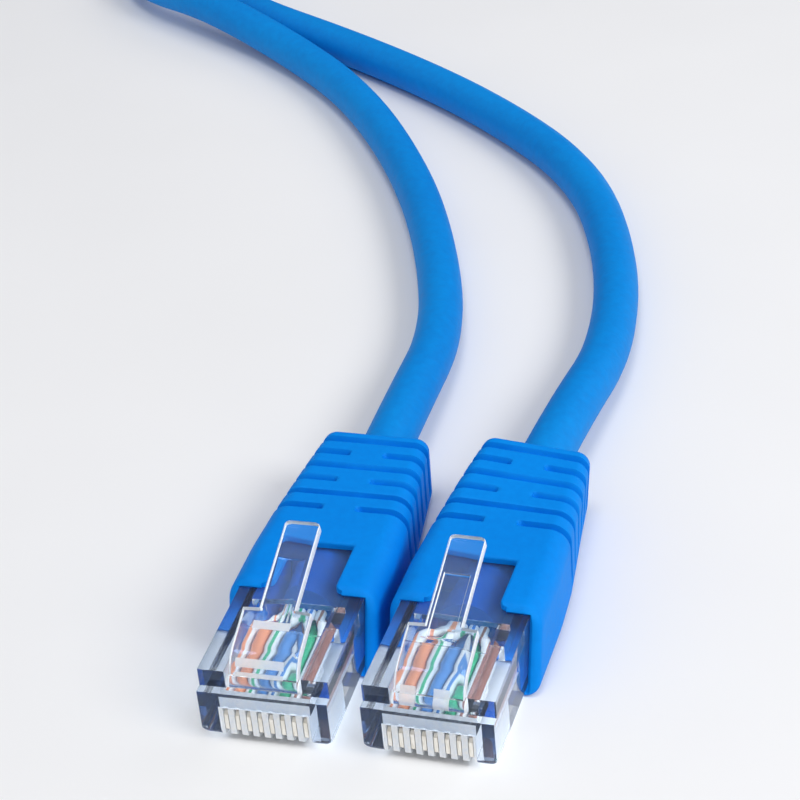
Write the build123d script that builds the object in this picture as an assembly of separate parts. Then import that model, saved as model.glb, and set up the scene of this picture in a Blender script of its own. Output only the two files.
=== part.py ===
from build123d import *
import math
import os

# Ethernet patch cable: two clear 8P8C plugs with moulded boots on one round cord.
# Millimetres, +Z up, the boots lie on Z = 0. The plug noses point to -Y and the
# latches face up. The origin is the bottom centre of the two booted plugs.
# Plug parts are drawn in a plug frame: X across the contacts, Y from the nose
# back along the plug, Z up from the housing's contact side.

# ---- Plug housing (8P8C) ----
housing_width = 11.68
housing_height = 6.6
housing_length = 21.5
nose_block_height = 4.85  # height of the full-length lower block at the nose
ledge_depth = 0.87  # the side rails start this far behind the nose
rail_inner_x = 3.45  # half the gap between the two side rails
rail_gap_length = 11.0  # the gap between the rails runs back to here
front_corner_radius = 0.9
housing_edge_radius = 0.25
rear_cavity_half_width = 4.35
rear_cavity_bottom = 0.85
rear_cavity_top = 5.95
rear_cavity_start = 9.2
cavity_roof_z = 4.45  # lower roof of the cavity, under the gap between the rails
cavity_step_y = 11.4  # behind here the cavity has its full height
overcut = 1.0  # cutting boxes run this far past the faces that they open
overlap = 0.1  # cuts that meet inside the body overlap by this much

# ---- Contacts and conductors ----
contact_pitch = 1.02
contact_count = 8
contact_thickness = 0.35
contact_front_y = 0.3
contact_rear_y = 5.2
contact_bottom = 0.35
contact_top = 2.6
contact_corner = 0.4
contact_chamfer = 0.3
prong_y = (3.9, 2.2)
prong_tip_half = 0.15
prong_root_half = 0.4
prong_above_wire_axis = 0.25
contact_slot_width = 0.46
contact_slot_length = 5.6
contact_slot_height = 3.05
wire_diameter = 0.92
core_diameter = 0.5
wire_row_z = 3.55
wire_start_y = 1.15
wire_straight_end_y = 9.2
wire_spread_end_y = 10.6  # the two rows are fully apart here
wire_spread_share = 0.2  # share of the way to the pair's column covered by then
wire_tail = 0.8  # straight stretch at the jacket
wire_bend_radius = 0.6
wire_channel_height = 1.1
wire_channel_front_gap = 0.25
pair_column_x = (-1.45, -0.5, 0.5, 1.45)
pair_row_offset = 0.55

# ---- Latch ----
latch_pivot_y = 1.15
latch_pivot_z = 5.55
latch_root_radius = 0.65
latch_root_clearance = 0.05
latch_root_end_gap = 0.15
latch_rise_y = 0.9  # the lever rises steeply from its root over this length
latch_rise_z = 1.9
latch_root_bend = 1.2
latch_tab_bend = 9.0
latch_base_width = 6.2
latch_tab_width = 3.25
latch_base_end_y = 6.5
latch_base_end_z = 9.1
latch_tab_end_y = 15.3
latch_tab_end_z = 12.1
latch_thickness = 0.95

# ---- Crimped strain relief bar ----
bar_half_width = 3.2
bar_start_y = 14.2
bar_end_y = 17.6
bar_bottom = 0.25
bar_top = 1.75
bar_edge_height = 0.7
bar_edge_length = 0.9
bar_clearance = 0.05

# ---- Moulded boot ----
boot_bottom = -0.5  # below the housing's contact side
boot_front_bottom_y = 9.8
boot_front_top_y = 12.6
boot_length_end_y = 38.5
boot_stations = (  # y, half width, top z
    (9.5, 6.95, 7.35),
    (20.0, 6.95, 7.35),
    (29.0, 6.2, 7.15),
    (boot_length_end_y, 5.25, 6.75),
)
boot_corner_radius = 2.0
boot_cutout_half_width = 3.05
boot_cutout_end_y = 19.3
boot_cutout_floor_z = 6.1
groove_first_y = 24.9
groove_pitch = 2.36
groove_count = 6
groove_width = 0.95
groove_depth = 0.6
groove_low_z = 1.1  # the grooves fade out at this height on the sides
groove_bridge_half_width = 1.55  # every other groove leaves this bridge on top

# ---- Cord ----
cord_diameter = 5.0
cord_exit_z = 3.4  # axis height in the plug frame
jacket_end_y = 13.4
cord_straight_out = 11.0  # the cord leaves the boot in line with it

# ---- Where the plugs lie ----
plug_lift = -boot_bottom
plug_a_at = (-6.88, -19.43, plug_lift)
plug_b_at = (7.61, -18.88, plug_lift)
plug_a_yaw = 2.08
plug_b_yaw = 0.0

# ---- Route of the cord, from each boot to the coil ----
floor_z = cord_diameter / 2
route_a = [
    (-9.0, 46.0, floor_z),
    (-15.2, 63.5, floor_z),
    (-24.5, 83.0, floor_z),
    (-38.0, 104.0, floor_z),
    (-52.5, 118.0, 2.8),
    (-69.3, 128.6, 4.9),
    (-82.0, 137.0, 4.0),
    (-89.6, 149.0, floor_z),
    (-92.8, 172.0, floor_z),
    (-94.4, 188.0, floor_z),
    (-96.3, 203.0, floor_z),
]
route_b = [
    (8.7, 46.0, floor_z),
    (5.6, 65.0, floor_z),
    (-3.2, 86.0, floor_z),
    (-20.0, 103.0, floor_z),
    (-41.0, 117.8, floor_z),
    (-69.0, 133.8, floor_z),
    (-76.7, 148.9, floor_z),
    (-75.4, 165.2, 5.0),
    (-65.0, 178.8, 7.9),
    (-48.9, 185.1, 7.6),
]
arc_share = 0.45  # share of the shorter run that a corner's arc takes

# ---- Coil and tie ----
coil_centre = (-66.5, 210.5)
coil_outer_turn_radius = 30.5
coil_inner_turn_radius = 25.4
coil_height = 9.9
coil_edge_radius = 2.4
tie_width = 9.0
tie_thickness = 0.9
tie_angle_deg = 60.0

os.makedirs("parts", exist_ok=True)


def save(shape, name):
    """Write one sub-part to its own STEP file."""
    shape.label = name
    export_step(shape, f"parts/{name}.step")


def block(x0, x1, y0, y1, z0, z1):
    """A box between two corners."""
    centre = ((x0 + x1) / 2, (y0 + y1) / 2, (z0 + z1) / 2)
    return Pos(*centre) * Box(x1 - x0, y1 - y0, z1 - z0)


def side_profile(points, half_width):
    """A solid from a closed outline of (y, z) points, symmetric about X = 0."""
    face = Plane.YZ * make_face(Polyline(*points, close=True))
    return extrude(face, amount=half_width, both=True)


def contact_x(index):
    """X of a contact, counted from the -X side."""
    return (index - (contact_count - 1) / 2) * contact_pitch


# ---- One function for each sub-part of a plug ----


def make_housing():
    half = housing_width / 2
    lower = block(-half, half, 0, housing_length, 0, nose_block_height)
    rails = block(-half, half, ledge_depth, housing_length, nose_block_height, housing_height)
    body = lower + rails
    front_edges = body.edges().filter_by(Axis.Z).group_by(Axis.Y)[0]
    body = fillet(front_edges, housing_edge_radius * 2)
    bottom_front = body.edges().filter_by(Axis.X).group_by(Axis.Z)[0].group_by(Axis.Y)[0]
    body = fillet(bottom_front, front_corner_radius)
    long_edges = [e for e in body.edges().filter_by(Axis.Y) if abs(e.center().X) > half - overlap]
    body = fillet(long_edges, housing_edge_radius)

    # Gap between the rails, under the latch, and the seat of the latch root.
    top = housing_height + overcut
    body -= block(-rail_inner_x, rail_inner_x, -overcut, rail_gap_length, nose_block_height, top)
    seat = Cylinder(latch_root_radius + latch_root_clearance, 2 * rail_inner_x, rotation=(0, 90, 0))
    body -= Pos(0, latch_pivot_y, latch_pivot_z) * seat

    # Slots of the contacts.
    half_slot = contact_slot_width / 2
    for index in range(contact_count):
        x = contact_x(index)
        x0, x1 = x - half_slot, x + half_slot
        body -= block(x0, x1, -overcut, contact_slot_length, -overcut, contact_slot_height)

    # Flat channel of the conductors.
    channel_half = contact_pitch * contact_count / 2
    channel_start = wire_start_y - wire_channel_front_gap
    channel_bottom = wire_row_z - wire_channel_height / 2
    channel_top = wire_row_z + wire_channel_height / 2
    body -= block(
        -channel_half, channel_half, channel_start, rear_cavity_start + overlap, channel_bottom, channel_top
    )

    # Rear cavity, low under the latch and full height behind it, and the window of the crimped bar.
    cavity_half = rear_cavity_half_width
    rear = housing_length + overcut
    body -= block(-cavity_half, cavity_half, rear_cavity_start, rear, rear_cavity_bottom, cavity_roof_z)
    body -= block(-cavity_half, cavity_half, cavity_step_y, rear, rear_cavity_bottom, rear_cavity_top)
    window_half = bar_half_width + bar_clearance
    window_start = bar_start_y - bar_clearance
    window_end = bar_end_y + bar_clearance
    body -= block(-window_half, window_half, window_start, window_end, -overcut, rear_cavity_bottom + overlap)
    return body


def make_latch():
    """Lever of the latch: round root, wide base with locking shoulders, narrow thumb tab."""
    root_point = (latch_pivot_y, latch_pivot_z)
    knee = (latch_pivot_y + latch_rise_y, latch_pivot_z + latch_rise_z)
    base_end = (latch_base_end_y, latch_base_end_z)
    tab_end = (latch_tab_end_y, latch_tab_end_z)
    base_line = FilletPolyline(root_point, knee, base_end, radius=latch_root_bend)
    tab_line = FilletPolyline(knee, base_end, tab_end, radius=latch_tab_bend)
    lever = extrude(Plane.YZ * trace(base_line, latch_thickness), latch_base_width / 2, both=True)
    lever += extrude(Plane.YZ * trace(tab_line, latch_thickness), latch_tab_width / 2, both=True)
    root_length = 2 * (rail_inner_x - latch_root_end_gap)
    root = Cylinder(latch_root_radius, root_length, rotation=(0, 90, 0))
    return lever + Pos(0, latch_pivot_y, latch_pivot_z) * root


def make_contact(index):
    """Blade with a chamfered foot and two prongs that pierce the conductor."""
    prong_top = wire_row_z + prong_above_wire_axis
    outline = [
        (contact_front_y + contact_corner, contact_bottom),
        (contact_rear_y - contact_chamfer, contact_bottom),
        (contact_rear_y, contact_bottom + contact_chamfer),
        (contact_rear_y, contact_top),
    ]
    for y in prong_y:
        outline += [
            (y + prong_root_half, contact_top),
            (y + prong_tip_half, prong_top),
            (y - prong_tip_half, prong_top),
            (y - prong_root_half, contact_top),
        ]
    outline += [
        (contact_front_y + contact_chamfer, contact_top),
        (contact_front_y, contact_top - contact_chamfer),
        (contact_front_y, contact_bottom + contact_corner),
    ]
    return Pos(contact_x(index), 0, 0) * side_profile(outline, contact_thickness / 2)


def wire_line(index):
    """Axis of one conductor: straight under its contact, then in to its place in the jacket."""
    x = contact_x(index)
    column = pair_column_x[index // 2]
    z = cord_exit_z + (pair_row_offset if index % 2 == 0 else -pair_row_offset)
    return FilletPolyline(
        (x, wire_start_y, wire_row_z),
        (x, wire_straight_end_y, wire_row_z),
        (x + (column - x) * wire_spread_share, wire_spread_end_y, z),
        (column, jacket_end_y - wire_tail, z),
        (column, jacket_end_y, z),
        radius=wire_bend_radius,
    )


def make_wire(index, contact):
    """Insulation of one conductor, cut where the prongs pass and bored for its core."""
    line = wire_line(index)
    start = Plane(line @ 0, z_dir=line % 0)
    return sweep(start * Circle(wire_diameter / 2), path=line) - make_core(index) - contact


def make_core(index):
    """Metal core of one conductor."""
    line = wire_line(index)
    start = Plane(line @ 0, z_dir=line % 0)
    return sweep(start * Circle(core_diameter / 2), path=line)


def make_bar():
    """Crimped wedge that presses the jacket from below."""
    outline = [
        (bar_start_y, bar_bottom),
        (bar_end_y, bar_bottom),
        (bar_end_y, bar_top - bar_edge_height),
        (bar_end_y - bar_edge_length, bar_top),
        (bar_start_y + bar_edge_length, bar_top),
        (bar_start_y, bar_top - bar_edge_height),
    ]
    return side_profile(outline, bar_half_width)


def make_jacket_end(bar):
    """Stretch of the cord's jacket inside the plug and the boot."""
    length = boot_length_end_y - jacket_end_y
    rod = Cylinder(cord_diameter / 2, length, rotation=(90, 0, 0))
    return Pos(0, jacket_end_y + length / 2, cord_exit_z) * rod - bar


def boot_section(y, half_width, top):
    """Rounded outline of the boot at one station."""
    height = top - boot_bottom
    plane = Plane(origin=(0, y, (top + boot_bottom) / 2), x_dir=(1, 0, 0), z_dir=(0, 1, 0))
    return plane * RectangleRounded(2 * half_width, height, boot_corner_radius)


def interpolate(y, column):
    """Half width (column 1) or top (column 2) of the boot at a given y."""
    for first, second in zip(boot_stations[:-1], boot_stations[1:]):
        if y <= second[0]:
            share = (y - first[0]) / (second[0] - first[0])
            return first[column] + share * (second[column] - first[column])
    return boot_stations[-1][column]


def make_groove(index):
    """Cutting ring of one groove. Every other one leaves a bridge on top."""
    y = groove_first_y + index * groove_pitch
    y0, y1 = y - groove_width / 2, y + groove_width / 2
    half = boot_stations[0][1] + overcut
    top = boot_stations[0][2] + overcut
    ring = block(-half, half, y0, y1, groove_low_z, top)
    core = boot_section(y0 - overcut, interpolate(y, 1) - groove_depth, interpolate(y, 2) - groove_depth)
    ring -= extrude(core, amount=groove_width + 2 * overcut)
    if index % 2 == 0:
        bridge = groove_bridge_half_width
        ring -= block(-bridge, bridge, y0 - overcut, y1 + overcut, cord_exit_z, top)
    return ring


def make_boot():
    """Tapered moulded sleeve with a latch cut-out and strain relief grooves."""
    sections = [boot_section(*station) for station in boot_stations]
    body = loft(sections[:2], ruled=True)
    for first, second in zip(sections[1:-1], sections[2:]):
        body += loft([first, second], ruled=True)

    # Slanted front face.
    high = boot_stations[0][2] + overcut
    front = [
        (0, boot_bottom - overcut),
        (boot_front_bottom_y, boot_bottom - overcut),
        (boot_front_bottom_y, boot_bottom),
        (boot_front_top_y, high),
        (0, high),
    ]
    body -= side_profile(front, housing_width)

    # Pocket of the housing, bore of the cord, cut-out of the latch.
    half = housing_width / 2
    body -= block(-half, half, 0, housing_length, 0, housing_height)
    bore_start = housing_length - overcut
    bore_length = boot_length_end_y + overcut - bore_start
    bore = Cylinder(cord_diameter / 2, bore_length, rotation=(90, 0, 0))
    body -= Pos(0, bore_start + bore_length / 2, cord_exit_z) * bore
    cutout_half = boot_cutout_half_width
    body -= block(-cutout_half, cutout_half, 0, boot_cutout_end_y, boot_cutout_floor_z, high)

    for index in range(groove_count):
        body -= make_groove(index)
    return body


# ---- Cord ----


def corner_radii(points):
    """Radius of the arc at each corner, as large as its two runs allow."""
    radii = []
    for before, here, after in zip(points[:-2], points[1:-1], points[2:]):
        run_in = Vector(*here) - Vector(*before)
        run_out = Vector(*after) - Vector(*here)
        half_turn = math.radians(run_in.get_angle(run_out)) / 2
        radii.append(arc_share * min(run_in.length, run_out.length) / math.tan(half_turn))
    return radii


def make_tube(name, points):
    """Round tube along straight runs joined by tangent arcs."""
    radii = corner_radii(points)
    line = FilletPolyline(*points, radius=radii)
    start = Plane(line @ 0, z_dir=line % 0)
    tube = sweep(start * Circle(cord_diameter / 2), path=line)
    filled = tube.volume / (math.pi * cord_diameter**2 / 4 * line.length)
    print(name, "radii", [round(r, 1) for r in radii])
    print(name, "length", round(line.length, 1), "volume over section x length", round(filled, 4))
    return tube


def make_coil():
    """Outer shape of the tied coil: a ring of stacked turns."""
    inner = coil_inner_turn_radius - cord_diameter / 2
    outer = coil_outer_turn_radius + cord_diameter / 2
    ring = Cylinder(outer, coil_height) - Cylinder(inner, coil_height)
    ring = fillet(ring.edges().filter_by(GeomType.CIRCLE), coil_edge_radius)
    return Pos(*coil_centre, coil_height / 2) * ring


def make_tie(coil):
    """Strap wrapped once round the coil's bundle."""
    middle = (coil_inner_turn_radius + coil_outer_turn_radius) / 2
    width = coil_outer_turn_radius - coil_inner_turn_radius + cord_diameter + 2 * tie_thickness
    strap = Box(width, tie_width, coil_height + tie_thickness)
    strap = fillet(strap.edges().filter_by(Axis.Y), coil_edge_radius)
    turned = Rot(0, 0, tie_angle_deg) * Pos(middle, 0, (coil_height + tie_thickness) / 2) * strap
    return Pos(*coil_centre, 0) * turned - coil


def place(shape, at, yaw):
    """Move a shape from the plug frame to where its plug lies."""
    return Pos(*at) * Rot(0, 0, yaw) * shape


def make_plug(letter, at, yaw):
    """All sub-parts of one booted plug. Returns the first straight run of its cord."""
    bar = make_bar()
    save(place(make_housing(), at, yaw), f"housing_{letter}")
    save(place(make_latch(), at, yaw), f"latch_{letter}")
    save(place(bar, at, yaw), f"strain_bar_{letter}")
    save(place(make_jacket_end(bar), at, yaw), f"jacket_end_{letter}")
    save(place(make_boot(), at, yaw), f"boot_{letter}")
    cores = []
    for index in range(contact_count):
        contact = make_contact(index)
        save(place(contact, at, yaw), f"contact_{letter}{index + 1}")
        save(place(make_wire(index, contact), at, yaw), f"wire_{letter}{index + 1}")
        cores.append(place(make_core(index) - contact, at, yaw))
    save(Compound(children=cores), f"cores_{letter}")
    ends = []
    for y in (boot_length_end_y, boot_length_end_y + cord_straight_out):
        ends.append(tuple((Pos(*at) * Rot(0, 0, yaw) * Pos(0, y, cord_exit_z)).position))
    return ends


run_out_a = make_plug("a", plug_a_at, plug_a_yaw)
run_out_b = make_plug("b", plug_b_at, plug_b_yaw)
print("first runs", run_out_a, run_out_b)
save(make_tube("cord_run_a", run_out_a + route_a), "cord_run_a")
save(make_tube("cord_run_b", run_out_b + route_b), "cord_run_b")
coil = make_coil()
save(coil, "cord_coil")
save(make_tie(coil), "coil_tie")
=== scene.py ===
import math

import bmesh
import bpy
from mathutils import Matrix, Vector


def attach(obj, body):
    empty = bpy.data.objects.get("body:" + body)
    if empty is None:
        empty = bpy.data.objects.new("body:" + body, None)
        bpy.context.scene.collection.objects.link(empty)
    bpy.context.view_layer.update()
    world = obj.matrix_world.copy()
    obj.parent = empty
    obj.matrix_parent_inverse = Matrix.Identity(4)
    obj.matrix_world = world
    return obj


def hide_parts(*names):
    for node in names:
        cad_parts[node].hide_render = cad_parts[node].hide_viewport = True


# Ethernet patch cable: two clear plugs in moulded boots on one cord. Lengths that
# come from the plug's drawing are in millimetres in the plug frame (X across the
# contacts, Y back from the nose, Z up), and MM turns them into the scene's metres.

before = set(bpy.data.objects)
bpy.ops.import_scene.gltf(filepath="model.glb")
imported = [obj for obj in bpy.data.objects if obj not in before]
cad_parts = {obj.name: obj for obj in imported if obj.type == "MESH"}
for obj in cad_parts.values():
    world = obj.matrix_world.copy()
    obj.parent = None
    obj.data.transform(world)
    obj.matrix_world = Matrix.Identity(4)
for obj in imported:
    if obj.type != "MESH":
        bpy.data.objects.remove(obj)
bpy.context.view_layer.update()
MM = 0.001

# ---- Where the plugs lie, as in the CAD model ----
PLUGS = {
    "a": {"at": (-6.88, -19.43, 0.5), "yaw": 2.08},
    "b": {"at": (7.61, -18.88, 0.5), "yaw": 0.0},
}
CORD_DIAMETER = 5.0
CORD_EXIT_Z = 3.4
CORD_OUT = {"a": (0.0, 11.0), "b": (0.6, 11.0)}  # the second point, across and back from the boot
BOOT_END_Y = 38.5


def plug_matrix(letter):
    """Places something drawn in millimetres in the plug frame."""
    plug = PLUGS[letter]
    turned = Matrix.Rotation(math.radians(plug["yaw"]), 4, "Z")
    return Matrix.Scale(MM, 4) @ Matrix.Translation(plug["at"]) @ turned


# ---- Camera ----
CAMERA_AT = Vector((55.56, -151.61, 124.63)) * MM
CAMERA_AZIMUTH = 19.72
CAMERA_ELEVATION = 32.0
CAMERA_ROLL = -5.51
CAMERA_LENS = 99.0
CAMERA_SENSOR = 36.0


def add_camera():
    angles = (CAMERA_AZIMUTH, CAMERA_ELEVATION, CAMERA_ROLL)
    azimuth, elevation, roll = (math.radians(angle) for angle in angles)
    level = math.cos(elevation)
    back = Vector((math.sin(azimuth) * level, -math.cos(azimuth) * level, math.sin(elevation)))
    right = Vector((0, 0, 1)).cross(back).normalized()
    up = back.cross(right)
    turned_right = math.cos(roll) * right + math.sin(roll) * up
    turned_up = -math.sin(roll) * right + math.cos(roll) * up
    data = bpy.data.cameras.new("camera")
    data.lens = CAMERA_LENS
    data.sensor_width = CAMERA_SENSOR
    data.clip_start = 0.005
    data.clip_end = 20.0
    camera = bpy.data.objects.new("camera", data)
    bpy.context.scene.collection.objects.link(camera)
    columns = Matrix((turned_right, turned_up, back)).transposed().to_4x4()
    camera.matrix_world = Matrix.Translation(CAMERA_AT) @ columns
    bpy.context.scene.camera = camera


add_camera()

# ---- Cord ----
FLOOR_Z = 2.5
ROUTE_A = [
    (-9.6, 46.0, FLOOR_Z),
    (-15.1, 63.5, FLOOR_Z),
    (-24.0, 83.1, FLOOR_Z),
    (-37.6, 104.3, FLOOR_Z),
    (-52.2, 118.5, 2.8),
    (-69.0, 129.2, 4.9),
    (-82.0, 137.0, 4.0),
    (-89.6, 149.0, FLOOR_Z),
    (-92.8, 172.0, FLOOR_Z),
    (-94.4, 188.0, FLOOR_Z),
    (-96.3, 203.0, FLOOR_Z),
]
ROUTE_B = [
    (9.3, 46.0, FLOOR_Z),
    (6.0, 65.0, FLOOR_Z),
    (-2.5, 86.0, FLOOR_Z),
    (-19.5, 103.4, FLOOR_Z),
    (-40.4, 118.5, FLOOR_Z),
    (-68.4, 134.8, FLOOR_Z),
    (-76.7, 148.9, FLOOR_Z),
    (-75.4, 165.2, 5.0),
    (-65.0, 178.8, 7.9),
]
COIL_CENTRE = (-66.5, 210.5)
OUTER_TURN = 30.5
TURN_GAP = 5.1
COIL_START_DEG = 195.3
COIL_TURNED_DEG = 970.0
COIL_STEP_DEG = 15.0
INWARD_AT, INWARD_OVER = 270.0, 90.0
CLIMB_AT, CLIMB_OVER, CLIMB_DEG = 530.0, 110.0, 60.0
CROSSING_LIFT = 0.75
TIE_DEG = 60.0
TIE_WIDTH = 9.0
TIE_THICKNESS = 0.9
TIE_LIFT_DEG = 40.0


def ease(x):
    """0 to 1, level at both ends."""
    x = min(max(x, 0.0), 1.0)
    return x * x * (3 - 2 * x)


def coil_place(turned):
    """Radius and height of the cord in the coil: once round outside, once inside, then on both."""
    inward = ease((turned - INWARD_AT) / INWARD_OVER)
    climb = math.radians(CLIMB_DEG) * ease((turned - CLIMB_AT) / CLIMB_OVER)
    if climb > 0:
        radius = OUTER_TURN - TURN_GAP * math.cos(climb)
        height = FLOOR_Z + TURN_GAP * math.sin(climb)
        height += CROSSING_LIFT * ease((turned - 630) / 40) * ease((740 - turned) / 40)
    else:
        radius = OUTER_TURN - TURN_GAP * inward
        height = FLOOR_Z
    angle = (COIL_START_DEG - turned) % 360
    from_tie = abs((angle - TIE_DEG + 180) % 360 - 180)
    height += TIE_THICKNESS * ease(2 - 2 * from_tie / TIE_LIFT_DEG)
    return radius, height, math.radians(angle)


def cord_points():
    """The cord's control points in millimetres, from boot a to boot b."""
    ends = {}
    for letter in PLUGS:
        place = plug_matrix(letter)
        start = place @ Vector((0, BOOT_END_Y, CORD_EXIT_Z)) / MM
        across, back = CORD_OUT[letter]
        out = place @ Vector((across, BOOT_END_Y + back, CORD_EXIT_Z)) / MM
        ends[letter] = [start, out]
    coil = []
    for i in range(int(COIL_TURNED_DEG / COIL_STEP_DEG)):
        radius, height, angle = coil_place(COIL_STEP_DEG * (i + 1))
        x = COIL_CENTRE[0] + radius * math.cos(angle)
        y = COIL_CENTRE[1] + radius * math.sin(angle)
        coil.append((x, y, height))
    return ends["a"] + ROUTE_A + coil + ROUTE_B[::-1] + ends["b"][::-1]


def add_cord():
    points = [Vector(point) * MM for point in cord_points()]
    data = bpy.data.curves.new("cord", "CURVE")
    data.dimensions = "3D"
    data.bevel_depth = 1.0
    data.bevel_resolution = 10
    data.resolution_u = 10
    spline = data.splines.new("NURBS")
    spline.points.add(len(points) - 1)
    for point, at in zip(spline.points, points):
        point.co = (*at, 1.0)
        point.radius = CORD_DIAMETER / 2 * MM
    spline.order_u = 3
    spline.use_endpoint_u = True
    made = bpy.data.objects.new("cord", data)
    bpy.context.scene.collection.objects.link(made)
    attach(made, "cable")
    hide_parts("cord_run_a", "cord_run_b", "cord_coil")
    return made, points


cord, cord_line = add_cord()

# ---- Mesh tools ----


def new_piece(name, mesh, body, replaced, materials):
    """Links a mesh as a piece that rides on a body."""
    made = bpy.data.objects.new(name, mesh)
    bpy.context.scene.collection.objects.link(made)
    for material in materials:
        mesh.materials.append(material)
    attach(made, body)
    if replaced:
        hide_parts(*replaced)
    return made


def lofted(name, rings):
    """A closed mesh through rings of equal count, with flat ends."""
    count = len(rings[0])
    verts = [point for ring in rings for point in ring]
    faces = []
    for row in range(len(rings) - 1):
        for i in range(count):
            j = (i + 1) % count
            a, b = row * count, (row + 1) * count
            faces.append((a + i, a + j, b + j, b + i))
    faces.append(tuple(range(count))[::-1])
    faces.append(tuple(range(len(verts) - count, len(verts))))
    mesh = bpy.data.meshes.new(name)
    mesh.from_pydata(verts, [], faces)
    bm = bmesh.new()
    bm.from_mesh(mesh)
    bmesh.ops.recalc_face_normals(bm, faces=bm.faces)
    bm.to_mesh(mesh)
    bm.free()
    return mesh


def box_rings(x0, x1, y0, y1, z0, z1):
    """Two rings that make a block when lofted."""
    return [[(x0, y, z0), (x1, y, z0), (x1, y, z1), (x0, y, z1)] for y in (y0, y1)]


def cut(mesh, cutters):
    """The mesh with each cutter mesh taken away."""
    holder = bpy.data.objects.new("holder", mesh)
    bpy.context.scene.collection.objects.link(holder)
    helpers = []
    for cutter in cutters:
        helper = bpy.data.objects.new("helper", cutter)
        bpy.context.scene.collection.objects.link(helper)
        helpers.append(helper)
        modifier = holder.modifiers.new("cut", "BOOLEAN")
        modifier.operation = "DIFFERENCE"
        modifier.solver = "EXACT"
        modifier.object = helper
    result = evaluated_mesh(holder)
    for helper in helpers:
        bpy.data.objects.remove(helper)
    bpy.data.objects.remove(holder)
    return result


def evaluated_mesh(holder):
    graph = bpy.context.evaluated_depsgraph_get()
    return bpy.data.meshes.new_from_object(holder.evaluated_get(graph))


def bevelled(mesh, width, segments, angle=30.0):
    """The mesh with its flat faces merged and its sharp edges rounded."""
    bm = bmesh.new()
    bm.from_mesh(mesh)
    bmesh.ops.remove_doubles(bm, verts=bm.verts, dist=0.0005)
    limit = math.radians(0.5)
    bmesh.ops.dissolve_limit(bm, angle_limit=limit, verts=bm.verts, edges=bm.edges)
    bm.to_mesh(mesh)
    bm.free()
    holder = bpy.data.objects.new("holder", mesh)
    bpy.context.scene.collection.objects.link(holder)
    modifier = holder.modifiers.new("round", "BEVEL")
    modifier.width = width
    modifier.segments = segments
    modifier.limit_method = "ANGLE"
    modifier.angle_limit = math.radians(angle)
    modifier.use_clamp_overlap = True
    result = evaluated_mesh(holder)
    bpy.data.objects.remove(holder)
    return result


def smooth(mesh, angle):
    """Smooth shading, with edges sharper than the angle kept."""
    for polygon in mesh.polygons:
        polygon.use_smooth = True
    mesh.set_sharp_from_angle(angle=math.radians(angle))


def quarter(step, steps, radius):
    """How far in and how far along a rounded edge is, step by step."""
    turn = math.pi / 2 * step / steps
    return radius * (1 - math.sin(turn)), radius * (1 - math.cos(turn))


# ---- Boots ----
BOOT_BOTTOM = -0.5
BOOT_FRONT_Y = 9.8
BOOT_SLANT = 2.8  # how far back the front face leans from bottom to top
SLANT_LENGTH = 8.0  # the lean fades out over this length
BOOT_STATIONS = (  # y, half width, top z
    (9.8, 6.95, 7.35),
    (19.0, 6.95, 7.35),
    (24.0, 6.68, 7.3),
    (29.0, 6.2, 7.15),
    (33.5, 5.75, 6.97),
    (38.5, 5.25, 6.75),
)
BOOT_TOP_RADIUS = 2.0
BOOT_REAR_TOP_RADIUS = 1.3
BOOT_TWIST = {"a": 1.0, "b": 5.0}  # degrees that the soft end is twisted by its cord
TWIST_LIFT = 4.1  # lifts the twisted end so that its low corner stays on the floor
TWIST_STOP = 3.0  # the last stretch is twisted all the way
BOOT_LOW_RADIUS = 1.3
BOOT_EDGE = 0.8
BOOT_REAR_EDGE = 0.8
BOOT_FRONT_ROW = 0.8
BOOT_ROW = 0.13  # closer rows, where the grooves are
POCKET_MOUTH = 0.25
GROOVE_FIRST = 24.9
GROOVE_PITCH = 2.36
GROOVE_COUNT = 6
GROOVE_HALF = 0.31
GROOVE_SOFT = 0.18
GROOVE_DEPTH = 1.05
GROOVE_LOW, GROOVE_LOW_OVER = 0.6, 1.6  # they run out toward the floor
MIDDLE_SHARE = 0.7  # the unbroken grooves are shallower in the middle of the top
BRIDGE_HALF = 1.75
BRIDGE_SOFT = 0.2
HOUSING_HALF = 5.84
HOUSING_HEIGHT = 6.6
HOUSING_LENGTH = 21.5
POCKET_GAP = 0.05
CUTOUT_HALF = 3.05
CUTOUT_END = 19.3
CUTOUT_FLOOR = 6.0
CUTOUT_START = 8.0
CUTOUT_EDGE = 0.28
CUTOUT_CORNER = 0.35
CUTOUT_FLARE, CUTOUT_FLARE_Y = 0.7, 12.75


def between(stations, y, column):
    for first, second in zip(stations[:-1], stations[1:]):
        if y <= second[0]:
            share = max(0.0, (y - first[0]) / (second[0] - first[0]))
            return first[column] + share * (second[column] - first[column])
    return stations[-1][column]


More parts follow.
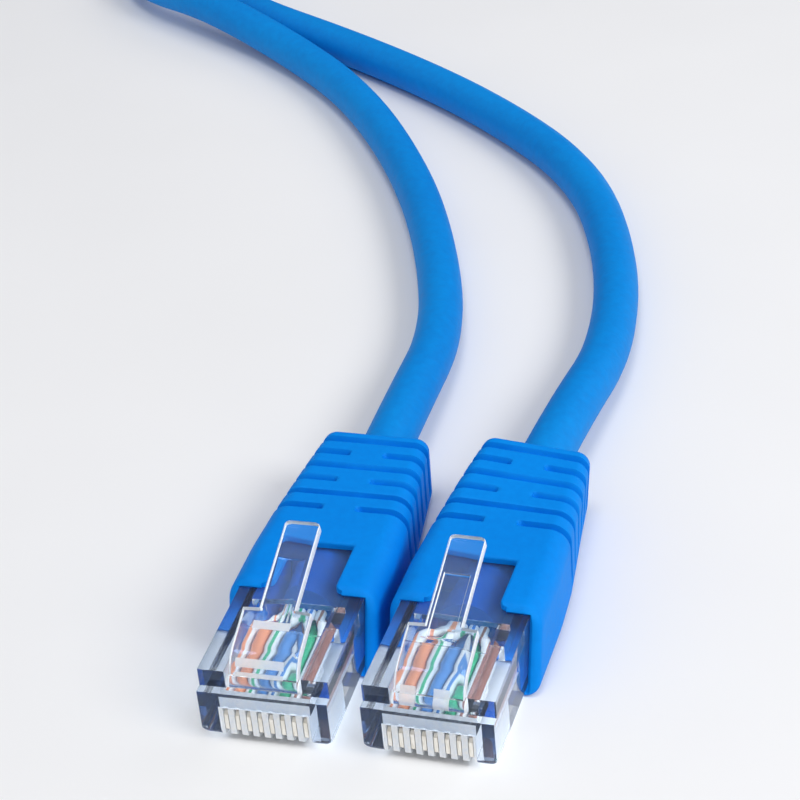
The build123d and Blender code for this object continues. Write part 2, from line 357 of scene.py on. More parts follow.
def boot_ring(y, inset, twist):
    """Points and outward directions round the boot at one station."""
    half = between(BOOT_STATIONS, y, 1)
    top = between(BOOT_STATIONS, y, 2)
    rear = ease((y - 20.0) / (BOOT_END_Y - 20.0))
    top_radius = BOOT_TOP_RADIUS + (BOOT_REAR_TOP_RADIUS - BOOT_TOP_RADIUS) * rear
    corners = (
        (half, top, top_radius, 0, 14),
        (-half, top, top_radius, 90, 14),
        (-half, BOOT_BOTTOM, BOOT_LOW_RADIUS, 180, 8),
        (half, BOOT_BOTTOM, BOOT_LOW_RADIUS, 270, 8),
    )
    runs = (44, 16, 8, 16)
    points = []
    for k, (x, z, radius, first, steps) in enumerate(corners):
        cx = x - math.copysign(radius, x)
        cz = z - radius if z > 0 else z + radius
        for step in range(steps + 1):
            turn = math.radians(first + 90 * step / steps)
            out = (math.cos(turn), math.sin(turn))
            points.append((cx + radius * out[0], cz + radius * out[1], out))
        x2, z2, radius2, first2, _ = corners[(k + 1) % 4]
        cx2 = x2 - math.copysign(radius2, x2)
        cz2 = z2 - radius2 if z2 > 0 else z2 + radius2
        turn = math.radians(first + 90)
        out = (math.cos(turn), math.sin(turn))
        a = (cx + radius * out[0], cz + radius * out[1])
        b = (cx2 + radius2 * out[0], cz2 + radius2 * out[1])
        for step in range(1, runs[k]):
            share = step / runs[k]
            points.append((a[0] + share * (b[0] - a[0]), a[1] + share * (b[1] - a[1]), out))
    ring = []
    for x, z, out in points:
        depth = inset + groove_depth(x, y, z)
        ring.append(slanted(*twisted(x - out[0] * depth, y, z - out[1] * depth, twist)))
    return ring


def twisted(x, y, z, degrees):
    """Turns the boot's soft end about its cord, and keeps it on the floor."""
    share = ease((y - HOUSING_LENGTH) / (BOOT_END_Y - HOUSING_LENGTH - TWIST_STOP))
    turn = math.radians(degrees) * share
    height = z - CORD_EXIT_Z
    lift = TWIST_LIFT * math.sin(turn)
    x2 = x * math.cos(turn) + height * math.sin(turn)
    z2 = CORD_EXIT_Z + height * math.cos(turn) - x * math.sin(turn)
    return (x2, y, z2 + lift)


def groove_depth(x, y, z):
    """How deep the grooves are at a point of the boot's skin."""
    depth = 0.0
    for index in range(GROOVE_COUNT):
        from_middle = abs(y - GROOVE_FIRST - index * GROOVE_PITCH)
        wall = ease((GROOVE_HALF + GROOVE_SOFT - from_middle) / (2 * GROOVE_SOFT))
        if wall <= 0:
            continue
        low = ease((z - GROOVE_LOW) / GROOVE_LOW_OVER)
        if index % 2 == 0:
            over = ease((abs(x) - BRIDGE_HALF + BRIDGE_SOFT) / (2 * BRIDGE_SOFT))
            depth += GROOVE_DEPTH * wall * low * (over if z > CORD_EXIT_Z else 1.0)
        else:
            middle = MIDDLE_SHARE + (1 - MIDDLE_SHARE) * ease((abs(x) - 0.5) / 3.5)
            share = middle if z > CORD_EXIT_Z else 1.0
            depth += GROOVE_DEPTH * wall * low * share
    return depth


def slanted(x, y, z):
    """Leans the boot's front face back."""
    height = (z - BOOT_BOTTOM) / (BOOT_STATIONS[0][2] - BOOT_BOTTOM)
    fade = 1 - ease((y - BOOT_FRONT_Y) / SLANT_LENGTH)
    return (x, y + BOOT_SLANT * height * fade, z)


def boot_body(twist):
    rings = []
    steps = 6
    for step in range(steps):
        inset, along = quarter(step, steps, BOOT_EDGE)
        rings.append(boot_ring(BOOT_FRONT_Y + along, inset, twist))
    y = BOOT_FRONT_Y + BOOT_EDGE
    while y < GROOVE_FIRST - 2.0:
        rings.append(boot_ring(y, 0.0, twist))
        y += BOOT_FRONT_ROW
    while y < BOOT_END_Y - BOOT_REAR_EDGE - BOOT_ROW / 2:
        rings.append(boot_ring(y, 0.0, twist))
        y += BOOT_ROW
    for step in range(steps, -1, -1):
        inset, along = quarter(step, steps, BOOT_REAR_EDGE)
        rings.append(boot_ring(BOOT_END_Y - along, inset, twist))
    return lofted("boot", rings)


def pocket_cutter():
    """The housing's pocket, with its mouth's edge rounded."""
    rings = []
    mouth, steps = POCKET_MOUTH, 5
    rows = [(BOOT_FRONT_Y - 2.0, mouth)]
    for step in range(steps + 1):
        turn = math.pi / 2 * step / steps
        rows.append((BOOT_FRONT_Y + mouth * math.sin(turn), mouth * (1 - math.sin(turn))))
    rows.append((HOUSING_LENGTH, 0.0))
    for y, out in rows:
        half = HOUSING_HALF + POCKET_GAP + out
        low, high = -POCKET_GAP - out * 0.5, HOUSING_HEIGHT + POCKET_GAP + out
        corners = ((-half, low), (half, low), (half, high), (-half, high))
        rings.append([slanted(x, y, z) for x, z in corners])
    return lofted("pocket", rings)


def cutout_cutter():
    """The latch's cut-out, with its top edge and its front corners rounded."""
    edge, steps = CUTOUT_EDGE, 5
    top = BOOT_STATIONS[0][2]
    levels = [(CUTOUT_FLOOR, 0.0)]
    for step in range(steps + 1):
        turn = math.pi / 2 * step / steps
        levels.append((top - edge + edge * math.sin(turn), edge * (1 - math.cos(turn))))
    levels.append((top + 2.0, edge))
    rings = []
    for z, out in levels:
        side = []
        for step in range(8, -1, -1):
            turn = math.pi / 2 * step / 8
            outward = CUTOUT_FLARE * (1 - math.cos(turn)) + out
            side.append((outward, CUTOUT_FLARE_Y + CUTOUT_FLARE * (1 - math.sin(turn))))
        ring = [(-CUTOUT_HALF - side[0][0], CUTOUT_START)]
        ring += [(-CUTOUT_HALF - dx, y) for dx, y in side]
        for step in range(5):
            turn = math.pi / 2 * step / 4
            x = -(CUTOUT_HALF + out) + CUTOUT_CORNER * (1 - math.cos(turn))
            ring.append((x, CUTOUT_END + out - CUTOUT_CORNER + CUTOUT_CORNER * math.sin(turn)))
        ring += [(-x, y) for x, y in reversed(ring)]
        rings.append([(x, y, z) for x, y in ring])
    return lofted("cutout", rings)


def round_cutter(radius, y0, y1, z, mouth):
    """A round bore whose rear mouth is flared."""
    rows = ((y0, 0.0), (y1 - mouth, 0.0), (y1 - mouth * 0.3, mouth * 0.35), (y1, mouth), (y1 + 1, mouth))
    rings = []
    for y, grow in rows:
        ring = []
        for i in range(48):
            turn = 2 * math.pi * i / 48
            r = radius + grow
            ring.append((r * math.cos(turn), y, z + r * math.sin(turn)))
        rings.append(ring)
    return lofted("bore", rings)


def make_boot(letter, material):
    bore = round_cutter(CORD_DIAMETER / 2 + 0.02, HOUSING_LENGTH - 1, BOOT_END_Y, CORD_EXIT_Z, 0.25)
    mesh = cut(boot_body(BOOT_TWIST[letter]), [pocket_cutter(), cutout_cutter(), bore])
    mesh.transform(plug_matrix(letter))
    smooth(mesh, 40)
    made = new_piece(f"boot_skin_{letter}", mesh, "cable", [f"boot_{letter}"], [material])
    modifier = made.modifiers.new("normals", "WEIGHTED_NORMAL")
    modifier.keep_sharp = True
    return made


# ---- Housings ----
HOUSING_BEVEL = 0.1
NOSE_HEIGHT = 4.85
LEDGE_DEPTH = 0.87
RAIL_INNER = 3.45
RAIL_GAP_LENGTH = 11.0
FRONT_RADIUS = 0.9
HOUSING_LOW_RADIUS = 0.65
CONTACT_PITCH = 1.02
CONTACT_COUNT = 8
SLOT_HALF = 0.24
SLOT_LENGTH = 5.6
SLOT_HEIGHT = 3.05
COMB_DEPTH = 0.25  # the comb between the slots stands back from the nose
COMB_HEIGHT = 3.3
CHANNEL = (0.9, 9.3, 3.0, 4.1)
CAVITY_HALF = 4.35
CAVITY_LOW = 0.85
CABLE_ROOM = (9.2, 22.5, 4.45)  # the cavity's two steps: y from, y to and top z
BOOT_ROOM = (11.4, 22.6, 5.95)
POCKET_PAINT_FROM = 11.5
WINDOW = (3.25, 14.15, 17.65)


def housing_body():
    """The plug's outline from the side, drawn across its width."""
    outline = []
    for step in range(7):
        turn = math.pi / 2 * step / 6
        reach = FRONT_RADIUS
        outline.append((reach * (1 - math.sin(turn)), reach * (1 - math.cos(turn))))
    outline += [(0, NOSE_HEIGHT), (LEDGE_DEPTH, NOSE_HEIGHT), (LEDGE_DEPTH, HOUSING_HEIGHT)]
    outline += [(HOUSING_LENGTH, HOUSING_HEIGHT), (HOUSING_LENGTH, 0)]
    rings = []
    quarters = range(5)
    for side, order in ((-1, quarters), (1, reversed(quarters))):
        for step in order:
            turn = math.pi / 2 * step / 4
            x = side * (HOUSING_HALF - HOUSING_LOW_RADIUS * (1 - math.cos(turn)))
            lift = HOUSING_LOW_RADIUS * (1 - math.sin(turn))
            rings.append([(x, y, z + lift * max(0.0, 1 - z / FRONT_RADIUS)) for y, z in outline])
    return lofted("housing", rings)


def contact_x(index):
    return (index - (CONTACT_COUNT - 1) / 2) * CONTACT_PITCH


def make_housing(letter, materials):
    gap = (-RAIL_INNER, RAIL_INNER, -1, RAIL_GAP_LENGTH, NOSE_HEIGHT, HOUSING_HEIGHT + 1)
    half = CONTACT_PITCH * CONTACT_COUNT / 2
    comb = (-half, half, -1, COMB_DEPTH, -1, COMB_HEIGHT)
    blocks = [gap, comb, (-half, half, *CHANNEL)]
    for lift, (y0, y1, top) in ((0.0, CABLE_ROOM), (0.1, BOOT_ROOM)):
        blocks.append((-CAVITY_HALF, CAVITY_HALF, y0, y1, CAVITY_LOW + lift, top))
    blocks.append((-WINDOW[0], WINDOW[0], WINDOW[1], WINDOW[2], -1, CAVITY_LOW + 0.3))
    for index in range(CONTACT_COUNT):
        x = contact_x(index)
        blocks.append((x - SLOT_HALF, x + SLOT_HALF, -1, SLOT_LENGTH, -1, SLOT_HEIGHT))
    cutters = [lofted("cutter", box_rings(*block)) for block in blocks]
    mesh = bevelled(cut(housing_body(), cutters), HOUSING_BEVEL, 2)
    for polygon in mesh.polygons:
        at = polygon.center
        amid = abs(at.x) < half
        in_comb = amid and 0.1 < at.y < SLOT_LENGTH + 0.1 and 0.05 < at.z < COMB_HEIGHT + 0.1
        at_channel = abs(at.y - CHANNEL[0]) < 0.12 and CHANNEL[2] < at.z < CHANNEL[3]
        # The cavity faces under the boot get the painted blue shade and boot reflection.
        under_boot = abs(at.x) < CAVITY_HALF + 0.1 and POCKET_PAINT_FROM < at.y < HOUSING_LENGTH - 0.2
        gets_pocket_paint = under_boot and CAVITY_LOW - 0.1 < at.z < BOOT_ROOM[2] + 0.15
        is_frosted = in_comb or (amid and at_channel)
        polygon.material_index = 1 if is_frosted else 2 if gets_pocket_paint else 0
    mesh.transform(plug_matrix(letter))
    smooth(mesh, 50)
    name, replaced = f"housing_shell_{letter}", [f"housing_{letter}"]
    made = new_piece(name, mesh, "cable", replaced, materials)
    modifier = made.modifiers.new("normals", "WEIGHTED_NORMAL")
    modifier.keep_sharp = True
    return made


# ---- Latches ----
LATCH_PATH = ((1.15, 5.55), (2.05, 7.45), (6.5, 9.1), (15.3, 12.1))
LATCH_THICKNESS = 0.95
LATCH_BASE_HALF = 3.1
LATCH_TAB_HALF = 1.625
LATCH_ROOT_RADIUS = 0.65
LATCH_EDGE = 0.13
LATCH_BEND_RADII = (0.9, 1.6)
LATCH_STEP = 0.1
ROOT_STATIONS = (  # across the root: x, change of radius
    (-3.3, -0.12),
    (-3.18, 0),
    (-2.5, 0),
    (-1.12, 0),
    (0.45, 0),
    (1.85, 0),
    (3.18, 0),
    (3.3, -0.12),
)
GLINT_BAR = (-1.75, 1.6, 4.35, 5.1)  # painted highlight: a whitish bar on top of latch a, x from, to and y from, to
RECESS_START, RECESS_END = 5.1, 11.5
RECESS_HALF = 1.2
RECESS_DEPTH = {"a": 0.05, "b": 0.16}
TOP_BREAKS = (-2.5, -1.75, -1.2, -1.12, 0.45, 1.12, 1.2, 1.6, 1.85, 2.5)
ROOT_GLINTS = {  # painted highlights: whitish patches on the root's web, x from, to and z from, to
    "a": ((-2.5, 1.85, 7.0, 7.6), (-2.5, 1.85, 6.2, 6.6)),
    "b": ((-2.5, -1.12, 4.9, 6.9), (0.45, 1.85, 4.9, 6.9)),
}


def latch_line():
    """The latch's middle line from its root to its tip, with its corners rounded."""
    points = [Vector(point) for point in LATCH_PATH]
    line = [points[0]]
    for before, here, after, radius in zip(points, points[1:], points[2:], LATCH_BEND_RADII):
        start = here + (before - here).normalized() * radius
        end = here + (after - here).normalized() * radius
        for step in range(9):
            t = step / 8
            line.append(start * (1 - t) ** 2 + here * 2 * t * (1 - t) + end * t**2)
    line.append(points[3])
    return line


def along_latch():
    """Evenly placed stations: point, direction and distance from the root."""
    line = latch_line()
    stations, walked = [], 0.0
    for first, second in zip(line[:-1], line[1:]):
        length = (second - first).length
        along = (second - first).normalized()
        pieces = max(1, round(length / LATCH_STEP))
        for k in range(pieces):
            stations.append((first.lerp(second, k / pieces), along, walked + length * k / pieces))
        walked += length
    stations.append((line[-1], (line[-1] - line[-2]).normalized(), walked))
    return stations


def latch_ring(at, along, half, edge, recess):
    """One rounded oblong across the latch, with its top face lowered in the middle."""
    up = Vector((-along.y, along.x))
    thick = LATCH_THICKNESS / 2
    ring = []

    def put(x, height):
        point = at + up * height
        ring.append((x, point.x, point.y))

    for step in range(4):
        turn = math.pi / 2 * step / 3
        put(half - edge + edge * math.cos(turn), thick - edge + edge * math.sin(turn))
    room = half - edge - 0.03
    for x in TOP_BREAKS[::-1]:
        inner = abs(x) < RECESS_HALF
        if not inner:
            share = (abs(x) - RECESS_HALF) / (TOP_BREAKS[-1] - RECESS_HALF)
            x = math.copysign(RECESS_HALF + share * (min(room, TOP_BREAKS[-1]) - RECESS_HALF), x)
        put(x, thick - (recess if inner else 0.0))
    for step in range(4):
        turn = math.pi / 2 * step / 3
        put(-half + edge - edge * math.sin(turn), thick - edge + edge * math.cos(turn))
    for step in range(4):
        turn = math.pi / 2 * step / 3
        put(-half + edge - edge * math.cos(turn), -thick + edge - edge * math.sin(turn))
    for step in range(4):
        turn = math.pi / 2 * step / 3
        put(half - edge + edge * math.sin(turn), -thick + edge - edge * math.cos(turn))
    return ring


def in_root_glint(at, letter):
    return any(x0 < at.x < x1 and z0 < at.z < z1 for x0, x1, z0, z1 in ROOT_GLINTS[letter])


def make_latch(letter, materials):
    stations = along_latch()
    total = stations[-1][2]
    rings = []
    for at, along, walked in stations:
        y = at.x
        half = LATCH_BASE_HALF
        if y > LATCH_PATH[2][0]:
            half = LATCH_TAB_HALF
        near_tip = max(0.0, LATCH_EDGE * 3 - (total - walked)) / (LATCH_EDGE * 3)
        half -= 0.35 * (1 - math.sqrt(max(0.0, 1 - near_tip**2)))
        inside = ease((y - RECESS_START) / 0.25) * ease((RECESS_END - y) / 0.12)
        rings.append(latch_ring(at, along, half, LATCH_EDGE, RECESS_DEPTH[letter] * inside))
    lever = lofted("latch", rings)
    root = []
    root_y, root_z = LATCH_PATH[0]
    for x, grow in ROOT_STATIONS:
        radius = LATCH_ROOT_RADIUS + grow
        ring = []
        for i in range(32):
            turn = 2 * math.pi * i / 32
            ring.append((x, root_y + radius * math.cos(turn), root_z + radius * math.sin(turn)))
        root.append(ring)
    root_mesh = lofted("root", root)
    holder = bpy.data.objects.new("holder", lever)
    helper = bpy.data.objects.new("helper", root_mesh)
    for part in (holder, helper):
        bpy.context.scene.collection.objects.link(part)
    modifier = holder.modifiers.new("join", "BOOLEAN")
    modifier.operation = "UNION"
    modifier.solver = "EXACT"
    modifier.object = helper
    mesh = evaluated_mesh(holder)
    bpy.data.objects.remove(holder)
    bpy.data.objects.remove(helper)
    step_y, tip_y = LATCH_PATH[2][0], LATCH_PATH[3][0]
    x0, x1, y0, y1 = GLINT_BAR
    for polygon in mesh.polygons:
        at, facing = polygon.center, polygon.normal
        sideways = abs(facing.x) > 0.6
        at_tip = at.y > tip_y - 0.35 and facing.y > 0.5
        shoulder = step_y - 0.3 < at.y < step_y + 0.3 and facing.y > 0.85
        # The root patches and the bar get the painted highlight material.
        patch = facing.y < -0.3 and at.y < 2.3 and in_root_glint(at, letter)
        bar = letter == "a" and facing.z > 0.5 and x0 < at.x < x1 and y0 < at.y < y1
        polygon.material_index = 1 if sideways or at_tip or shoulder else 2 if patch or bar else 0
    mesh.transform(plug_matrix(letter))
    smooth(mesh, 35)
    name, replaced = f"latch_lever_{letter}", [f"latch_{letter}"]
    return new_piece(name, mesh, f"lever_{letter}", replaced, materials)


# ---- Coil tie ----


def strap_section():
    """Outline of the bundle of turns that the strap follows: radius and height, then the outward way."""
    centres = []
    for turn in range(3):
        radius, height, _ = coil_place(COIL_START_DEG - TIE_DEG + 360 * turn)
        centres.append(Vector((radius, height)))
    outline = []
    for i in range(96):
        turn = 2 * math.pi * i / 96
        out = Vector((math.cos(turn), math.sin(turn)))
        furthest = max(centres, key=lambda centre: centre.dot(out))
        outline.append((furthest, out))
    return outline


def make_strap(material):
    """A strap once round the coil, with its free end lapped over itself."""
    outline = strap_section()
    near = CORD_DIAMETER / 2 + 0.02
    far = near + TIE_THICKNESS - 0.1
    half = TIE_WIDTH / 2
    edge = 0.22
    profile = [
        (-half, near + edge),
        (-half + edge, near),
        (half - edge, near),
        (half, near + edge),
        (half, far - edge),
        (half - edge, far),
        (-half + edge, far),
        (-half, far - edge),
    ]
    verts, faces = [], []
    lap_start, lap_count = 14, 34
    angle = math.radians(TIE_DEG)
    along = Vector((-math.sin(angle), math.cos(angle), 0))
    outward = Vector((math.cos(angle), math.sin(angle), 0))
    centre = Vector((*COIL_CENTRE, 0))
    lift = far - near - 0.05

    def ring(index, rise, squeeze):
        base, out = outline[index % len(outline)]
        points = []
        for across, reach in profile:
            place = base + out * (reach + rise)
            sideways = along * (across * squeeze)
            points.append(centre + outward * place.x + sideways + Vector((0, 0, place.y)))
        return points

    rings = [ring(i, 0.0, 1.0) for i in range(len(outline))]
    lap = []
    for k in range(lap_count):
        tuck = ease(k / 5)
        tip = ease((lap_count - 1 - k) / 4)
        lap.append(ring(lap_start + k, lift * (0.15 + 0.85 * tuck), 0.55 + 0.4 * tip))
    count = len(profile)
    for group, closed in ((rings, True), (lap, False)):
        start = len(verts)
        for points in group:
            verts += points
        rows = len(group)
        for row in range(rows if closed else rows - 1):
            a = start + row * count
            b = start + (row + 1) % rows * count
            for i in range(count):
                j = (i + 1) % count
                faces.append((a + i, a + j, b + j, b + i))
        if not closed:
            faces.append(tuple(range(start, start + count)))
            faces.append(tuple(range(len(verts) - count, len(verts)))[::-1])
    mesh = bpy.data.meshes.new("strap")
    mesh.from_pydata(verts, [], faces)
    bm = bmesh.new()
    bm.from_mesh(mesh)
    bmesh.ops.recalc_face_normals(bm, faces=bm.faces)
    bm.to_mesh(mesh)
    bm.free()
    mesh.transform(Matrix.Scale(MM, 4))
    smooth(mesh, 50)
    return new_piece("coil_strap", mesh, "cable", ["coil_tie"], [material])


# ---- Materials ----


class Look:
    """One procedural material on a Principled shader, in metres of the scene."""

    def __init__(self, name, roughness=0.5, **sockets):
        self.material = bpy.data.materials.new(name)
        self.material.use_nodes = True
        self.tree = self.material.node_tree
        self.shader = self.tree.nodes["Principled BSDF"]
        self.shader.inputs["Roughness"].default_value = roughness
        for socket, value in sockets.items():
            self.shader.inputs[socket.replace("_", " ")].default_value = value
        self.coords = self.tree.nodes.new("ShaderNodeTexCoord").outputs["Object"]

    def node(self, kind, inputs=None, **settings):
        made = self.tree.nodes.new(kind)
        for key, value in settings.items():
            setattr(made, key, value)
        for key, value in (inputs or {}).items():
            socket = made.inputs[key]
            if isinstance(value, bpy.types.NodeSocket):
                self.tree.links.new(value, socket)
            else:
                socket.default_value = value
        return made

    def noise(self, scale, detail=3.0, roughness=0.5, coords=None):
        inputs = {"Vector": coords or self.coords, "Scale": scale, "Detail": detail, "Roughness": roughness}
        return self.node("ShaderNodeTexNoise", inputs).outputs["Fac"]

    def ramp(self, fac, stops):
        made = self.node("ShaderNodeValToRGB", {"Fac": fac})
        ramp = made.color_ramp
        while len(ramp.elements) < len(stops):
            ramp.elements.new(0.5)
        for element, (place, color) in zip(ramp.elements, stops):
            element.position = place
            element.color = (*color, 1.0) if len(color) == 3 else color
        return made.outputs["Color"]

    def spread(self, fac, low, high):
        """A value between low and high."""
        made = self.node("ShaderNodeMapRange", {"Value": fac, "To Min": low, "To Max": high})
        return made.outputs["Result"]

    def math(self, operation, a, b=0.0, c=0.0):
        made = self.node("ShaderNodeMath", {0: a, 1: b, 2: c}, operation=operation)
        return made.outputs[0]

    def color(self, output):
        self.tree.links.new(output, self.shader.inputs["Base Color"])

    def rough(self, output):
        self.tree.links.new(output, self.shader.inputs["Roughness"])

    def let_lamps_through(self, tint):
        """Lamps light what is behind the glass."""
        clear_way = self.node("ShaderNodeBsdfTransparent", {"Color": (*tint, 1.0)})
        shadow = self.node("ShaderNodeLightPath").outputs["Is Shadow Ray"]
        ways = {0: shadow, 1: self.shader.outputs[0], 2: clear_way.outputs[0]}
        either = self.node("ShaderNodeMixShader", ways)
        self.tree.links.new(either.outputs[0], self.tree.nodes["Material Output"].inputs["Surface"])

    def bump(self, height, distance, strength=0.5):
        made = self.node("ShaderNodeBump", {"Height": height, "Distance": distance, "Strength": strength})
        self.tree.links.new(made.outputs["Normal"], self.shader.inputs["Normal"])


def blue_plastic(name, low, high, grain, depth, gloss):
    """Matte coloured PVC with a fine grain."""
    look = Look(name, 0.5)
    look.shader.inputs["Specular IOR Level"].default_value = gloss
    fine = look.noise(grain, 4.0, 0.65)
    broad = look.noise(60.0, 2.0)
    mixed = look.math("ADD", look.math("MULTIPLY", fine, 0.6), look.math("MULTIPLY", broad, 0.4))
    look.color(look.ramp(mixed, [(0.35, low), (0.65, high)]))
    look.rough(look.spread(fine, 0.5, 0.68))
    look.bump(fine, depth, 0.35)
    return look.material


def clear_plastic(name, transmission, low, high):
    """Clear polycarbonate with faint moulding waves."""
    look = Look(name, 0.03, IOR=1.585)
    look.shader.inputs["Transmission Weight"].default_value = transmission
    look.shader.inputs["Specular Tint"].default_value = (0.4, 0.58, 1.0, 1.0)
    waves = look.noise(260.0, 2.0)
    look.color(look.ramp(waves, [(0.3, low), (0.7, high)]))
    look.rough(look.spread(look.noise(900.0), 0.015, 0.06))
    look.bump(waves, 0.00012, 0.12)
    look.let_lamps_through((0.93, 0.965, 1.0))
    return look.material


def frosted_plastic(name, transmission):
    """Rough moulded faces, which scatter light."""
    look = Look(name, 0.5, IOR=1.585)
    look.shader.inputs["Transmission Weight"].default_value = transmission
    grain = look.noise(2600.0, 3.0)
    look.color(look.ramp(grain, [(0.3, (0.86, 0.92, 1.0)), (0.7, (0.97, 0.985, 1.0))]))
    look.rough(look.spread(grain, 0.35, 0.6))
    look.bump(grain, 0.00008, 0.5)
    return look.material


def metal(name, low, high, rough_low, rough_high):
    """Plated or drawn metal with fine marks along the blades."""
    look = Look(name, 0.3)
    look.shader.inputs["Metallic"].default_value = 1.0
    stretched = look.node("ShaderNodeMapping", {"Vector": look.coords, "Scale": (3000.0, 300.0, 900.0)})
    marks = look.noise(1.0, 3.0, coords=stretched.outputs["Vector"])
    look.color(look.ramp(marks, [(0.35, low), (0.65, high)]))
    look.rough(look.spread(marks, rough_low, rough_high))
    look.bump(marks, 0.00003, 0.4)
    return look.material


def insulation(name, letter, ground, stripe):
    """A conductor's insulation, with a stripe along it on the white ones."""
    look = Look(name, 0.38)
    grain = look.noise(1800.0, 3.0)
    plug = PLUGS[letter]
    at = [value * MM for value in plug["at"]]
    turned = look.node(
        "ShaderNodeMapping",
        {"Vector": look.coords, "Location": at, "Rotation": (0, 0, math.radians(plug["yaw"]))},
        vector_type="TEXTURE",
    )
    across = look.node("ShaderNodeSeparateXYZ", {0: turned.outputs["Vector"]}).outputs["X"]
    phase = look.math("FRACT", look.math("MULTIPLY_ADD", across, 1 / (CONTACT_PITCH * MM), 40.0))
    off = look.math("ABSOLUTE", look.math("SUBTRACT", phase, 0.6))
    wobble = look.math("MULTIPLY_ADD", grain, 0.05, off)
    base = look.ramp(wobble, [(0.13, stripe), (0.16, ground)])
    shade = {"Factor": look.spread(grain, 0.0, 0.12), "A": base, "B": (0, 0, 0, 1)}
    dark = look.node("ShaderNodeMix", shade, data_type="RGBA")
    look.color(dark.outputs["Result"])
    look.rough(look.spread(grain, 0.3, 0.46))
    look.bump(grain, 0.00003, 0.3)
    return look.material


WEAVE_PITCH = 0.00055


def strap_fabric():
    """Woven strap: ribs both ways and loose fibres."""
    look = Look("strap_fabric", 0.85)
    look.shader.inputs["Sheen Weight"].default_value = 0.4
    turn = (0, 0, math.radians(-TIE_DEG))
    turned = look.node("ShaderNodeMapping", {"Vector": look.coords, "Rotation": turn})
    split = look.node("ShaderNodeSeparateXYZ", {0: turned.outputs["Vector"]})
    period = 2 * math.pi / WEAVE_PITCH
    warp = look.math("SINE", look.math("MULTIPLY", split.outputs["Y"], period))
    rise = look.math("ADD", split.outputs["X"], split.outputs["Z"])
    weft = look.math("SINE", look.math("MULTIPLY", rise, period))
    weave = look.math("MULTIPLY_ADD", look.math("MULTIPLY", warp, weft), 0.5, 0.5)
    fuzz = look.noise(5000.0, 2.0)
    mixed = look.math("ADD", look.math("MULTIPLY", weave, 0.7), look.math("MULTIPLY", fuzz, 0.3))
    look.color(look.ramp(mixed, [(0.2, (0.012, 0.013, 0.016)), (0.9, (0.07, 0.072, 0.08))]))
    look.bump(mixed, 0.00025, 0.7)
    return look.material


BOOT_BLUE = ((0.0, 0.225, 0.76), (0.0, 0.255, 0.82))
CORD_BLUE = ((0.0, 0.215, 0.66), (0.0, 0.265, 0.75))
# Painted shade: the cord's jacket inside the plug is a darker blue, as if it lay in the boot's shadow.
JACKET_PAINTED_SHADE = ((0.0, 0.10, 0.34), (0.0, 0.13, 0.40))
boot_blue = blue_plastic("boot_blue", *BOOT_BLUE, 1300.0, 0.00006, 0.09)
cord_blue = blue_plastic("cord_blue", *CORD_BLUE, 1000.0, 0.0001, 0.14)
jacket_painted_shade = blue_plastic("jacket_blue_painted_shade", *JACKET_PAINTED_SHADE, 1000.0, 0.0001, 0.14)
clear = clear_plastic("clear_plastic_look", 0.975, (0.76, 0.85, 0.98), (0.86, 0.92, 1.0))
clearer = clear_plastic("clear_latch_look", 0.99, (0.90, 0.95, 1.0), (0.96, 0.98, 1.0))
# Painted shade and reflection: a dark blue clear plastic that stands for the boot's blue light in the
# shaded pocket.
pocket_painted_blue = clear_plastic("clear_plastic_pocket_painted_blue", 0.86, (0.10, 0.36, 0.86), (0.16, 0.42, 0.90))
frosted = frosted_plastic("clear_plastic_edge", 0.12)
# Painted highlight: a half-clear whitish plastic put where the latch's root and bar show bright glints.
glint_paint = frosted_plastic("clear_plastic_painted_glint", 0.45)
pale_gold = metal("contact_plating", (0.80, 0.76, 0.68), (0.95, 0.92, 0.86), 0.25, 0.45)
copper = metal("copper_core", (0.62, 0.27, 0.13), (0.85, 0.45, 0.26), 0.25, 0.4)

WHITE = (0.93, 0.90, 0.84)
ORANGE = (0.95, 0.32, 0.12)
GREEN = (0.03, 0.45, 0.18)
BLUE = (0.06, 0.24, 0.55)
BROWN = (0.36, 0.15, 0.10)
WIRE_COLORS = [
    (WHITE, ORANGE),
    (ORANGE, ORANGE),
    (WHITE, GREEN),
    (BLUE, BLUE),
    (WHITE, BLUE),
    (GREEN, GREEN),
    (WHITE, BROWN),
    (BROWN, BROWN),
]


def dress_node(name, material):
    """Gives a CAD node its material."""
    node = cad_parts[name]
    node.data.materials.clear()
    node.data.materials.append(material)


cord.data.materials.append(cord_blue)
for letter in PLUGS:
    make_boot(letter, boot_blue)
    make_housing(letter, [clear, frosted, pocket_painted_blue])
    make_latch(letter, [clearer, frosted, glint_paint])
    dress_node(f"strain_bar_{letter}", clear)
    dress_node(f"jacket_end_{letter}", jacket_painted_shade)
    dress_node(f"cores_{letter}", copper)
    for index, (ground, stripe) in enumerate(WIRE_COLORS):
        wire = f"wire_{letter}{index + 1}"
        dress_node(wire, insulation(f"{wire}_insulation", letter, ground, stripe))
        dress_node(f"contact_{letter}{index + 1}", pale_gold)
strap = make_strap(strap_fabric())

# ---- Floor and lights ----
FLOOR_HALF = 1.5


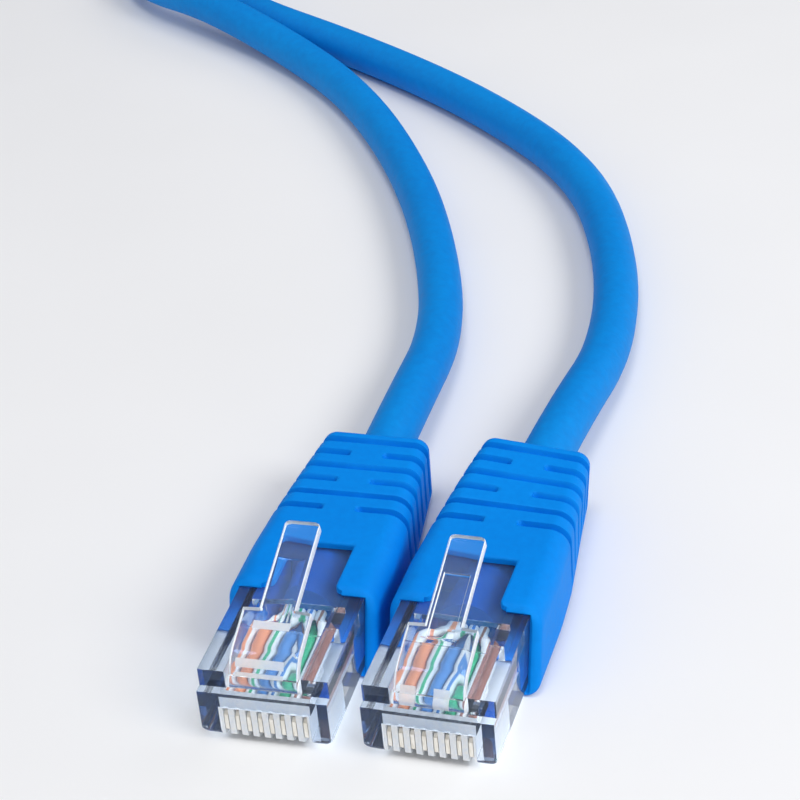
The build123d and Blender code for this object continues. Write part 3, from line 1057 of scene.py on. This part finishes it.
def add_floor():
    mesh = bpy.data.meshes.new("floor")
    reach = FLOOR_HALF
    corners = [(-reach, -reach, 0), (reach, -reach, 0), (reach, reach, 0), (-reach, reach, 0)]
    mesh.from_pydata(corners, [], [(0, 1, 2, 3)])
    floor = bpy.data.objects.new("floor", mesh)
    bpy.context.scene.collection.objects.link(floor)
    look = Look("floor_paper", 0.7)
    look.shader.inputs["Specular IOR Level"].default_value = 0.1
    look.color(look.ramp(look.noise(30.0, 2.0), [(0.3, (0.89, 0.89, 0.895)), (0.7, (0.91, 0.91, 0.915))]))
    mesh.materials.append(look.material)


def add_light(name, at, size, power, target=(0.0, 0.03, 0.0)):
    data = bpy.data.lights.new(name, "AREA")
    data.shape = "DISK"
    data.size = size
    data.energy = power
    light = bpy.data.objects.new(name, data)
    bpy.context.scene.collection.objects.link(light)
    aim = (Vector(target) - Vector(at)).to_track_quat("-Z", "Y")
    light.matrix_world = Matrix.Translation(Vector(at)) @ aim.to_matrix().to_4x4()


def add_world():
    """Soft studio surroundings, dimmer and bluer behind the object."""
    world = bpy.data.worlds.new("studio")
    world.use_nodes = True
    tree = world.node_tree
    coords = tree.nodes.new("ShaderNodeTexCoord")
    split = tree.nodes.new("ShaderNodeSeparateXYZ")
    tree.links.new(coords.outputs["Generated"], split.inputs[0])
    shade = tree.nodes.new("ShaderNodeMapRange")
    shade.inputs["From Min"].default_value = -0.3
    shade.inputs["From Max"].default_value = 0.8
    shade.inputs["To Min"].default_value = 0.56
    shade.inputs["To Max"].default_value = 0.27
    tree.links.new(split.outputs["Y"], shade.inputs["Value"])
    hue = tree.nodes.new("ShaderNodeValToRGB")
    hue.color_ramp.elements[0].position = 0.35
    hue.color_ramp.elements[0].color = (1.0, 1.0, 1.0, 1.0)
    hue.color_ramp.elements[1].color = (0.3, 0.45, 1.0, 1.0)
    tree.links.new(split.outputs["Y"], hue.inputs["Fac"])
    background = tree.nodes["Background"]
    tree.links.new(hue.outputs["Color"], background.inputs["Color"])
    tree.links.new(shade.outputs["Result"], background.inputs["Strength"])
    bpy.context.scene.world = world


add_floor()
add_world()
add_light("key", (0.5, -0.1, 0.42), 0.3, 1.95)
add_light("above", (0.0, -0.12, 0.75), 0.3, 1.35)
add_light("back", (0.45, 0.5, 0.45), 0.4, 0.7)
bpy.context.scene.view_settings.view_transform = "Standard"
